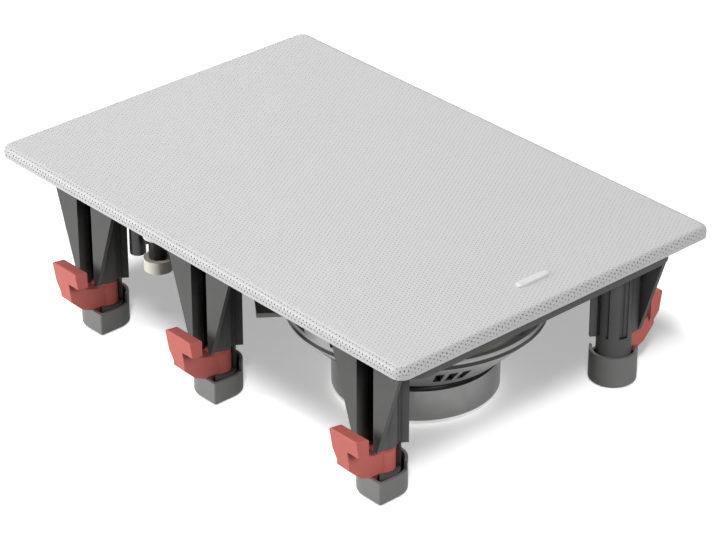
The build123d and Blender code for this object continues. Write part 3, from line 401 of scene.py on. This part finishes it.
class Finish:
    """Node material with one shader, reading Object coordinates."""

    def __init__(self, name):
        self.material = bpy.data.materials.new(name)
        self.material.use_nodes = True
        self.tree = self.material.node_tree
        self.shader = self.tree.nodes["Principled BSDF"]
        self.place = self.add("ShaderNodeTexCoord").outputs["Object"]

    def add(self, kind, inputs=(), **values):
        """New node with named values set and input sockets linked or set."""
        node = self.tree.nodes.new(kind)
        for key, value in values.items():
            setattr(node, key, value)
        for key, value in dict(inputs).items():
            self.put(node.inputs[key], value)
        return node

    def put(self, socket, value):
        """Link an output to a socket, or set the socket's value."""
        if isinstance(value, bpy.types.NodeSocket):
            self.tree.links.new(value, socket)
        else:
            socket.default_value = value

    def set(self, **values):
        """Set the shader's sockets by name, with underscores for spaces."""
        for key, value in values.items():
            self.put(self.shader.inputs[key.replace("_", " ")], value)

    def noise(self, scale, detail=4.0, place=None):
        """Noise between 0 and 1, scale in features a metre."""
        inputs = {"Vector": place or self.place, "Scale": scale, "Detail": detail}
        return self.add("ShaderNodeTexNoise", inputs).outputs["Fac"]

    def bands(self, direction, period, distortion=0.0):
        """Bands across one axis, between 0 and 1, with their period in metres."""
        inputs = {"Vector": self.place, "Scale": WAVE_LENGTH / period, "Distortion": distortion}
        return self.add("ShaderNodeTexWave", inputs, bands_direction=direction).outputs["Fac"]

    def stretched(self, scale, turn):
        """Object coordinates turned and scaled."""
        inputs = {"Vector": self.place, "Rotation": turn, "Scale": scale}
        return self.add("ShaderNodeMapping", inputs).outputs["Vector"]

    def remap(self, value, source=(0.0, 1.0), target=(0.0, 1.0)):
        """Value mapped from one range onto another and held at its ends."""
        inputs = {"Value": value, "From Min": source[0], "From Max": source[1],
                  "To Min": target[0], "To Max": target[1]}
        return self.add("ShaderNodeMapRange", inputs).outputs["Result"]

    def colours(self, value, first, second):
        """Blend of two colours, each written out or worked out by a node."""
        node = self.add("ShaderNodeMix", data_type="RGBA")
        self.put(node.inputs[0], value)
        for socket, colour in ((node.inputs[6], first), (node.inputs[7], second)):
            self.put(socket, colour if isinstance(colour, bpy.types.NodeSocket) else (*colour, 1.0))
        return node.outputs[2]

    def tones(self, value, colour, first, second):
        """Blend of two tones of one colour, given as factors."""
        return self.colours(value, tinted(colour, first), tinted(colour, second))

    def above(self, level):
        """1 above a level of Z and 0 below it, with a short soft step."""
        height = self.add("ShaderNodeSeparateXYZ", {"Vector": self.place}).outputs["Z"]
        return self.remap(height, (level - SOFT_STEP, level + SOFT_STEP))

    def painted_gap_shade(self, colour, reach):
        """Painted shade: colour made darker where most of the space within reach is closed in."""
        inputs = {"Distance": reach}
        openness = self.add("ShaderNodeAmbientOcclusion", inputs, samples=GAP_SHADE_SAMPLES, only_local=True)
        # Painted shade: the colour goes towards black where the space within reach is closed in.
        light = self.remap(openness.outputs["AO"], GAP_SHADE_RANGE, (GAP_SHADE_LIGHT, 1.0))
        return self.colours(light, GAP_SHADE_COLOUR, colour)

    def sheen(self, scale, low, high):
        """Uneven roughness between two values."""
        self.set(Roughness=self.remap(self.noise(scale), target=(low, high)))

    def bump(self, height, distance, strength=1.0):
        """Surface relief in metres from a height between 0 and 1."""
        inputs = {"Height": height, "Distance": distance, "Strength": strength}
        self.set(Normal=self.add("ShaderNodeBump", inputs).outputs["Normal"])


def tinted(colour, factor):
    """Colour made lighter or darker."""
    return tuple(min(1.0, c * factor) for c in colour)


def moulded(name, colour, roughness, grain=2600.0, depth=0.00003, spread=0.10, shine=0.5, gap_shade_reach=0.0):
    """Moulded surface: fine spark texture, slow tone changes, an uneven sheen and painted shade in its gaps.
    """
    finish = Finish(name)
    tone = finish.tones(finish.noise(scale=38.0, detail=5.0), colour, 1 - spread, 1 + spread)
    # Painted shade in the gaps, where a reach for it is given.
    finish.set(Base_Color=finish.painted_gap_shade(tone, gap_shade_reach) if gap_shade_reach else tone, Specular_IOR_Level=shine)
    finish.sheen(scale=160.0, low=roughness - 0.07, high=roughness + 0.07)
    finish.bump(finish.noise(grain, detail=3.0), distance=depth)
    return finish.material


def powder_coat(name, colour):
    """White powder coat with the orange-peel of a baked paint."""
    finish = Finish(name)
    finish.set(Base_Color=finish.tones(finish.noise(scale=24.0), colour, 0.975, 1.02))
    finish.sheen(scale=900.0, low=0.42, high=0.58)
    finish.bump(finish.noise(scale=2200.0, detail=2.0), distance=0.00002)
    return finish.material


def turned_metal(name, colour, roughness):
    """Plated steel with the faint rings that turning leaves about an axis."""
    finish = Finish(name)
    inputs = {"Vector": finish.place, "Scale": TURNING_SCALE, "Distortion": 1.5, "Detail": 2.0}
    rings = finish.add("ShaderNodeTexWave", inputs, wave_type="RINGS", rings_direction="Z")
    finish.set(Base_Color=finish.tones(finish.noise(scale=55.0), colour, 0.88, 1.08), Metallic=1.0)
    finish.sheen(scale=300.0, low=roughness - 0.06, high=roughness + 0.08)
    finish.bump(rings.outputs["Fac"], distance=0.00001, strength=0.4)
    return finish.material


def satin_metal(finish):
    """Give a finish the sheen and the fine pits of a satin metal coat."""
    finish.set(Metallic=0.9)
    finish.sheen(scale=90.0, low=0.26, high=0.34)
    finish.bump(finish.noise(scale=3200.0), distance=0.00002)


def ferrite_ring(name, colour):
    """Ferrite ring under a satin metal coat."""
    finish = Finish(name)
    finish.set(Base_Color=finish.tones(finish.noise(scale=240.0, detail=6.0), colour, 0.85, 1.12))
    satin_metal(finish)
    return finish.material


def highlighted_steel(name, colour, highlight_z, seam_z):
    """Satin steel plates: below one level the lower edge carries a painted highlight, and the seam above
    another is black.
    """
    finish = Finish(name)
    # Painted highlight: a bright band along the back plate's lower edge.
    highlighted = finish.colours(finish.above(highlight_z), EDGE_HIGHLIGHT, colour)
    finish.set(Base_Color=finish.colours(finish.above(seam_z), highlighted, SEAM_BLACK))
    satin_metal(finish)
    return finish.material


def basket_coat(name, colour, hoop_z):
    """Satin coat with metal flake, a painted shade band along the lower edge of the hoop, and painted shade
    in its gaps.
    """
    finish = Finish(name)
    # Painted shade: a dark band just above the hoop's level.
    hoop_shaded = finish.colours(finish.above(hoop_z), colour, tinted(colour, HOOP_SHADE_TONE))
    tone = finish.colours(finish.above(hoop_z + HOOP_SHADE_HEIGHT), hoop_shaded, colour)
    finish.set(Base_Color=finish.painted_gap_shade(tone, BASKET_SHADE_REACH), Metallic=0.5)
    finish.sheen(scale=160.0, low=0.29, high=0.43)
    finish.bump(finish.noise(scale=2600.0, detail=3.0), distance=0.00003)
    return finish.material


def wound_wire(name, colour, pitch):
    """Enamelled wire laid turn on turn along Z."""
    finish = Finish(name)
    turns = finish.bands("Z", pitch, distortion=0.3)
    finish.set(Base_Color=finish.tones(turns, colour, 0.55, 1.15), Metallic=0.6)
    finish.sheen(scale=400.0, low=0.28, high=0.45)
    finish.bump(turns, distance=pitch * 0.4)
    return finish.material


def woven(name, colour, thread, roughness=0.85):
    """Cloth with crossing threads: the product of two sets of bands."""
    finish = Finish(name)
    crossing = {0: finish.bands("X", thread), 1: finish.bands("Y", thread)}
    weave = finish.add("ShaderNodeMath", crossing, operation="MULTIPLY").outputs["Value"]
    finish.set(Base_Color=finish.tones(weave, colour, 0.72, 1.12))
    finish.sheen(scale=500.0, low=roughness - 0.08, high=roughness + 0.06)
    finish.bump(weave, distance=thread * 0.3)
    return finish.material


def pulp(name, colour):
    """Pressed paper pulp with short fibres."""
    finish = Finish(name)
    along = finish.stretched(scale=(700.0, 2600.0, 1500.0), turn=(0.3, 0.5, 0.7))
    fibre = finish.noise(scale=1.0, detail=6.0, place=along)
    finish.set(Base_Color=finish.tones(fibre, colour, 0.75, 1.3))
    finish.sheen(scale=300.0, low=0.66, high=0.85)
    finish.bump(fibre, distance=0.00004)
    return finish.material


def circuit(name, colour):
    """Circuit laminate: solder resist over tracks that stand up a little."""
    finish = Finish(name)
    inputs = {"Vector": finish.place, "Scale": 260.0}
    cells = finish.add("ShaderNodeTexVoronoi", inputs, feature="DISTANCE_TO_EDGE", distance="MANHATTAN")
    tracks = finish.remap(cells.outputs["Distance"], (0.10, 0.16))
    finish.set(Base_Color=finish.tones(tracks, colour, 1.5, 0.9))
    finish.sheen(scale=200.0, low=0.30, high=0.42)
    finish.bump(tracks, distance=0.00003, strength=0.6)
    return finish.material


def fired(name, colour):
    """Cement or fired clay: pale, dusty and speckled."""
    finish = Finish(name)
    finish.set(Base_Color=finish.tones(finish.noise(scale=900.0, detail=6.0), colour, 0.8, 1.08))
    finish.sheen(scale=300.0, low=0.72, high=0.92)
    finish.bump(finish.noise(scale=1800.0), distance=0.00005)
    return finish.material


def make_finishes():
    """One material for each of the record's slots."""
    colours = bpy.context.scene.speaker_finish
    cream = tuple(colours.cream)
    ferrite = tuple(colours.ferrite)
    # Level of the hoop's lower edge, where its painted shade band begins.
    hoop_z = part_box("woofer_spider")[0].z
    # Top of the painted highlight along the back plate's lower edge.
    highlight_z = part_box("woofer_back_plate")[0].z + EDGE_HIGHLIGHT_HEIGHT
    seam_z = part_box("woofer_magnet")[1].z
    return {
        "grille_white": powder_coat("grille_powder_coat", tuple(colours.grille)),
        "badge_white": moulded("badge_satin", tuple(colours.badge), roughness=0.30, grain=1200.0,
                               depth=0.000006, spread=0.02),
        # The frame, feet and dogs get painted shade in their gaps, over the reach given.
        "frame_black": moulded("frame_moulding", tuple(colours.frame), roughness=0.50, shine=0.05, gap_shade_reach=0.016),
        "foot_black": moulded("foot_moulding", tuple(colours.foot), roughness=0.52, shine=0.1, gap_shade_reach=0.010),
        "dog_red": moulded("dog_moulding", tuple(colours.dog), roughness=0.42, grain=2000.0, depth=0.00002,
                           spread=0.08, shine=0.12, gap_shade_reach=0.006),
        "screw_zinc": turned_metal("zinc_plate", ZINC, roughness=0.32),
        "screw_black": moulded("black_oxide", BLACK_OXIDE, roughness=0.40, grain=2200.0, depth=0.00001),
        "magnet_nickel": turned_metal("nickel_plate", NICKEL, roughness=0.22),
        "basket_grey": basket_coat("basket_coat", tuple(colours.basket), hoop_z),
        "motor_steel": highlighted_steel("motor_plate", ferrite, highlight_z, seam_z),
        "ferrite": ferrite_ring("ferrite", ferrite),
        "copper_wire": wound_wire("coil_copper", COPPER, pitch=0.00045),
        "cone_paper": pulp("cone_pulp", CONE_PULP),
        "surround_rubber": moulded("surround_rubber", RUBBER, roughness=0.62, grain=1500.0, depth=0.00001),
        "spider_cloth": woven("spider_cloth", SPIDER_CLOTH, thread=0.0006),
        "cream_fibre": pulp("strip_fibre", cream),
        "driver_plastic": moulded("driver_moulding", DRIVER_PLASTIC, roughness=0.42),
        "dome_cloth": woven("dome_cloth", DOME_CLOTH, thread=0.0004, roughness=0.7),
        "board_laminate": circuit("board_laminate", LAMINATE),
        "cream_plastic": moulded("cream_moulding", cream, roughness=0.45, grain=1800.0, depth=0.00002,
                                 spread=0.04),
        "coil_enamel": wound_wire("coil_enamel", COIL_ENAMEL, pitch=0.0007),
        "can_sleeve": moulded("can_sleeve", CAN_SLEEVE, roughness=0.28, grain=900.0, depth=0.000006),
        "cement": fired("cement_case", CEMENT),
        "button_red": moulded("button_red", BUTTON_RED, roughness=0.30, grain=1500.0, depth=0.00001),
        "button_black": moulded("button_black", BUTTON_BLACK, roughness=0.30, grain=1500.0, depth=0.00001),
    }


def wear(piece, material):
    """Give a piece or node its only material."""
    piece.data.materials.clear()
    piece.data.materials.append(material)


def finish_of(slot):
    """Material of one slot, made by the finishes operator."""
    return bpy.data.materials[bpy.context.scene["speaker_slots"][slot]]


# Studio

def seen_rays(tree):
    """Share of camera, glossy and transmission rays: 1 where the background is seen, 0 where it lights."""
    path = tree.nodes.new("ShaderNodeLightPath")
    total = path.outputs["Is Camera Ray"]
    for name in ("Is Glossy Ray", "Is Transmission Ray"):
        both = tree.nodes.new("ShaderNodeMath")
        both.operation = "MAXIMUM"
        tree.links.new(total, both.inputs[0])
        tree.links.new(path.outputs[name], both.inputs[1])
        total = both.outputs["Value"]
    return total


def white_world(stage):
    """World that lights evenly and looks white."""
    world = bpy.data.worlds.new("studio")
    world.use_nodes = True
    tree = world.node_tree
    light = tree.nodes["Background"]
    light.inputs["Color"].default_value = WHITE
    light.inputs["Strength"].default_value = stage.ambient
    white = tree.nodes.new("ShaderNodeBackground")
    white.inputs["Color"].default_value = WHITE
    white.inputs["Strength"].default_value = 1.0
    mix = tree.nodes.new("ShaderNodeMixShader")
    tree.links.new(seen_rays(tree), mix.inputs[0])
    tree.links.new(light.outputs["Background"], mix.inputs[1])
    tree.links.new(white.outputs["Background"], mix.inputs[2])
    tree.links.new(mix.outputs["Shader"], tree.nodes["World Output"].inputs["Surface"])
    bpy.context.scene.world = world


def floor_material(stage):
    """Matt white that glows a little where it is seen and throws only a share of its light on the speaker."""
    material = bpy.data.materials.new("floor_white")
    material.use_nodes = True
    tree = material.node_tree
    seen = seen_rays(tree)
    shader = tree.nodes["Principled BSDF"]
    shader.inputs["Roughness"].default_value = FLOOR_ROUGHNESS
    shader.inputs["Specular IOR Level"].default_value = FLOOR_SHINE
    glow = tree.nodes.new("ShaderNodeMath")
    glow.operation = "MULTIPLY"
    tree.links.new(seen, glow.inputs[0])
    glow.inputs[1].default_value = stage.floor_glow
    shader.inputs["Emission Color"].default_value = WHITE
    tree.links.new(glow.outputs["Value"], shader.inputs["Emission Strength"])
    tone = tree.nodes.new("ShaderNodeMapRange")
    tree.links.new(seen, tone.inputs["Value"])
    tone.inputs["To Min"].default_value = stage.floor_bounce
    tone.inputs["To Max"].default_value = 1.0
    tree.links.new(tone.outputs["Result"], shader.inputs["Base Color"])
    return material


def pale_floor(stage):
    """Large pale square under the feet that keeps the shadows."""
    outline = FLOOR_HALF * np.array([[-1, -1], [1, -1], [1, 1], [-1, 1]])
    corners = np.column_stack([outline, np.full(len(outline), FLOOR_LEVEL)])
    floor = mesh_object("floor", corners, np.array([[0, 1, 2, 3]]), smooth=False)
    wear(floor, floor_material(stage))
    return floor


def soft_lamp(name, place, size, power):
    """Square area lamp that looks at the speaker."""
    light = bpy.data.lights.new(name, "AREA")
    light.shape = "SQUARE"
    light.size = size
    light.energy = power
    lamp = bpy.data.objects.new(name, light)
    lamp.location = place
    lamp.rotation_euler = (LAMP_AIM - Vector(place)).to_track_quat("-Z", "Y").to_euler()
    bpy.context.scene.collection.objects.link(lamp)
    return lamp


def link_light(lamp, floor, state):
    """Let a lamp light only the floor, or everything but the floor. All pieces still cast its shadows."""
    group = bpy.data.collections.new(lamp.name + "_receivers")
    group.objects.link(floor)
    group.collection_objects[0].light_linking.link_state = state
    lamp.light_linking.receiver_collection = group


def photo_camera(stage):
    """Camera of the photograph's view."""
    data = bpy.data.cameras.new("camera")
    data.sensor_width = SENSOR
    data.sensor_fit = "HORIZONTAL"
    data.lens = SENSOR * stage.focal
    data.clip_end = CAMERA_REACH
    camera = bpy.data.objects.new("camera", data)
    camera.location = stage.eye
    camera.rotation_euler = (Vector(stage.target) - Vector(stage.eye)).to_track_quat("-Z", "Y").to_euler()
    bpy.context.scene.collection.objects.link(camera)
    bpy.context.scene.camera = camera


# Operators

class SPEAKER_OT_finishes(bpy.types.Operator):
    """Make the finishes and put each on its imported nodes"""

    bl_idname = "speaker.finishes"
    bl_label = "Finishes"

    def execute(self, context):
        materials = make_finishes()
        context.scene["speaker_slots"] = {slot: material.name for slot, material in materials.items()}
        for node, slot in NODE_SLOT.items():
            wear(frame["nodes"][node], materials[slot])
        return {"FINISHED"}


class SPEAKER_OT_grille(bpy.types.Operator):
    """Make the perforated grille in place of the plain sheet"""

    bl_idname = "speaker.grille"
    bl_label = "Perforated grille"

    def execute(self, context):
        face, walls = perforated_sheet(context.scene.speaker_grille)
        for piece in (face, walls):
            wear(piece, finish_of("grille_white"))
            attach(piece, "frame")
        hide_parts("grille")
        return {"FINISHED"}


class SPEAKER_OT_badge(bpy.types.Operator):
    """Make the bare badge plate with a rounded upper edge"""

    bl_idname = "speaker.badge"
    bl_label = "Badge plate"

    def execute(self, context):
        badge = crowned_badge(context.scene.speaker_grille)
        wear(badge, finish_of("badge_white"))
        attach(badge, "frame")
        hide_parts("badge_plate")
        return {"FINISHED"}


class SPEAKER_OT_threads(bpy.types.Operator):
    """Cut the threads of the clamp screws"""

    bl_idname = "speaker.threads"
    bl_label = "Screw threads"

    def execute(self, context):
        for number in TOWERS:
            thread = screw_thread(number, context.scene.speaker_screw)
            wear(thread, finish_of("screw_zinc"))
            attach(thread, f"clamp_screw_{number}")
        return {"FINISHED"}


class SPEAKER_OT_stage(bpy.types.Operator):
    """Make the floor, the lamps, the white surroundings and the camera"""

    bl_idname = "speaker.stage"
    bl_label = "Studio"

    def execute(self, context):
        stage = context.scene.speaker_stage
        context.scene.view_settings.view_transform = "Standard"
        white_world(stage)
        floor = pale_floor(stage)
        for name, place in FLOOR_LAMPS.items():
            link_light(soft_lamp(name, place, FLOOR_LAMP_SIZE, stage.floor_key), floor, "INCLUDE")
        for name, place in OBJECT_LAMPS.items():
            link_light(soft_lamp(name, place, OBJECT_LAMP_SIZE, getattr(stage, name)), floor, "EXCLUDE")
        photo_camera(stage)
        return {"FINISHED"}


class SPEAKER_PT_panel(bpy.types.Panel):
    """Settings and steps of the in wall speaker"""

    bl_idname = "SPEAKER_PT_panel"
    bl_label = "In Wall Speaker"
    bl_space_type = "VIEW_3D"
    bl_region_type = "UI"
    bl_category = "Speaker"

    def draw(self, context):
        for group in SETTINGS:
            settings = getattr(context.scene, group)
            box = self.layout.box()
            for name in settings.bl_rna.properties.keys():
                if name not in ("rna_type", "name"):
                    box.prop(settings, name)
        for operator in STEPS:
            self.layout.operator(operator.bl_idname)


STEPS = (SPEAKER_OT_finishes, SPEAKER_OT_grille, SPEAKER_OT_badge, SPEAKER_OT_threads, SPEAKER_OT_stage)
SETTINGS = {
    "speaker_grille": SpeakerGrilleSettings,
    "speaker_screw": SpeakerScrewSettings,
    "speaker_finish": SpeakerFinishSettings,
    "speaker_stage": SpeakerStageSettings,
}


def register():
    """Register the settings, the steps and the panel."""
    for name, group in SETTINGS.items():
        bpy.utils.register_class(group)
        setattr(bpy.types.Scene, name, PointerProperty(type=group))
    for step in (*STEPS, SPEAKER_PT_panel):
        bpy.utils.register_class(step)


def unregister():
    """Take everything out again."""
    for step in (SPEAKER_PT_panel, *reversed(STEPS)):
        bpy.utils.unregister_class(step)
    for name, group in reversed(SETTINGS.items()):
        delattr(bpy.types.Scene, name)
        bpy.utils.unregister_class(group)


def main():
    """Run every step."""
    register()
    bpy.ops.speaker.finishes()
    bpy.ops.speaker.grille()
    bpy.ops.speaker.badge()
    bpy.ops.speaker.threads()
    bpy.ops.speaker.stage()


if __name__ == "__main__":
    main()
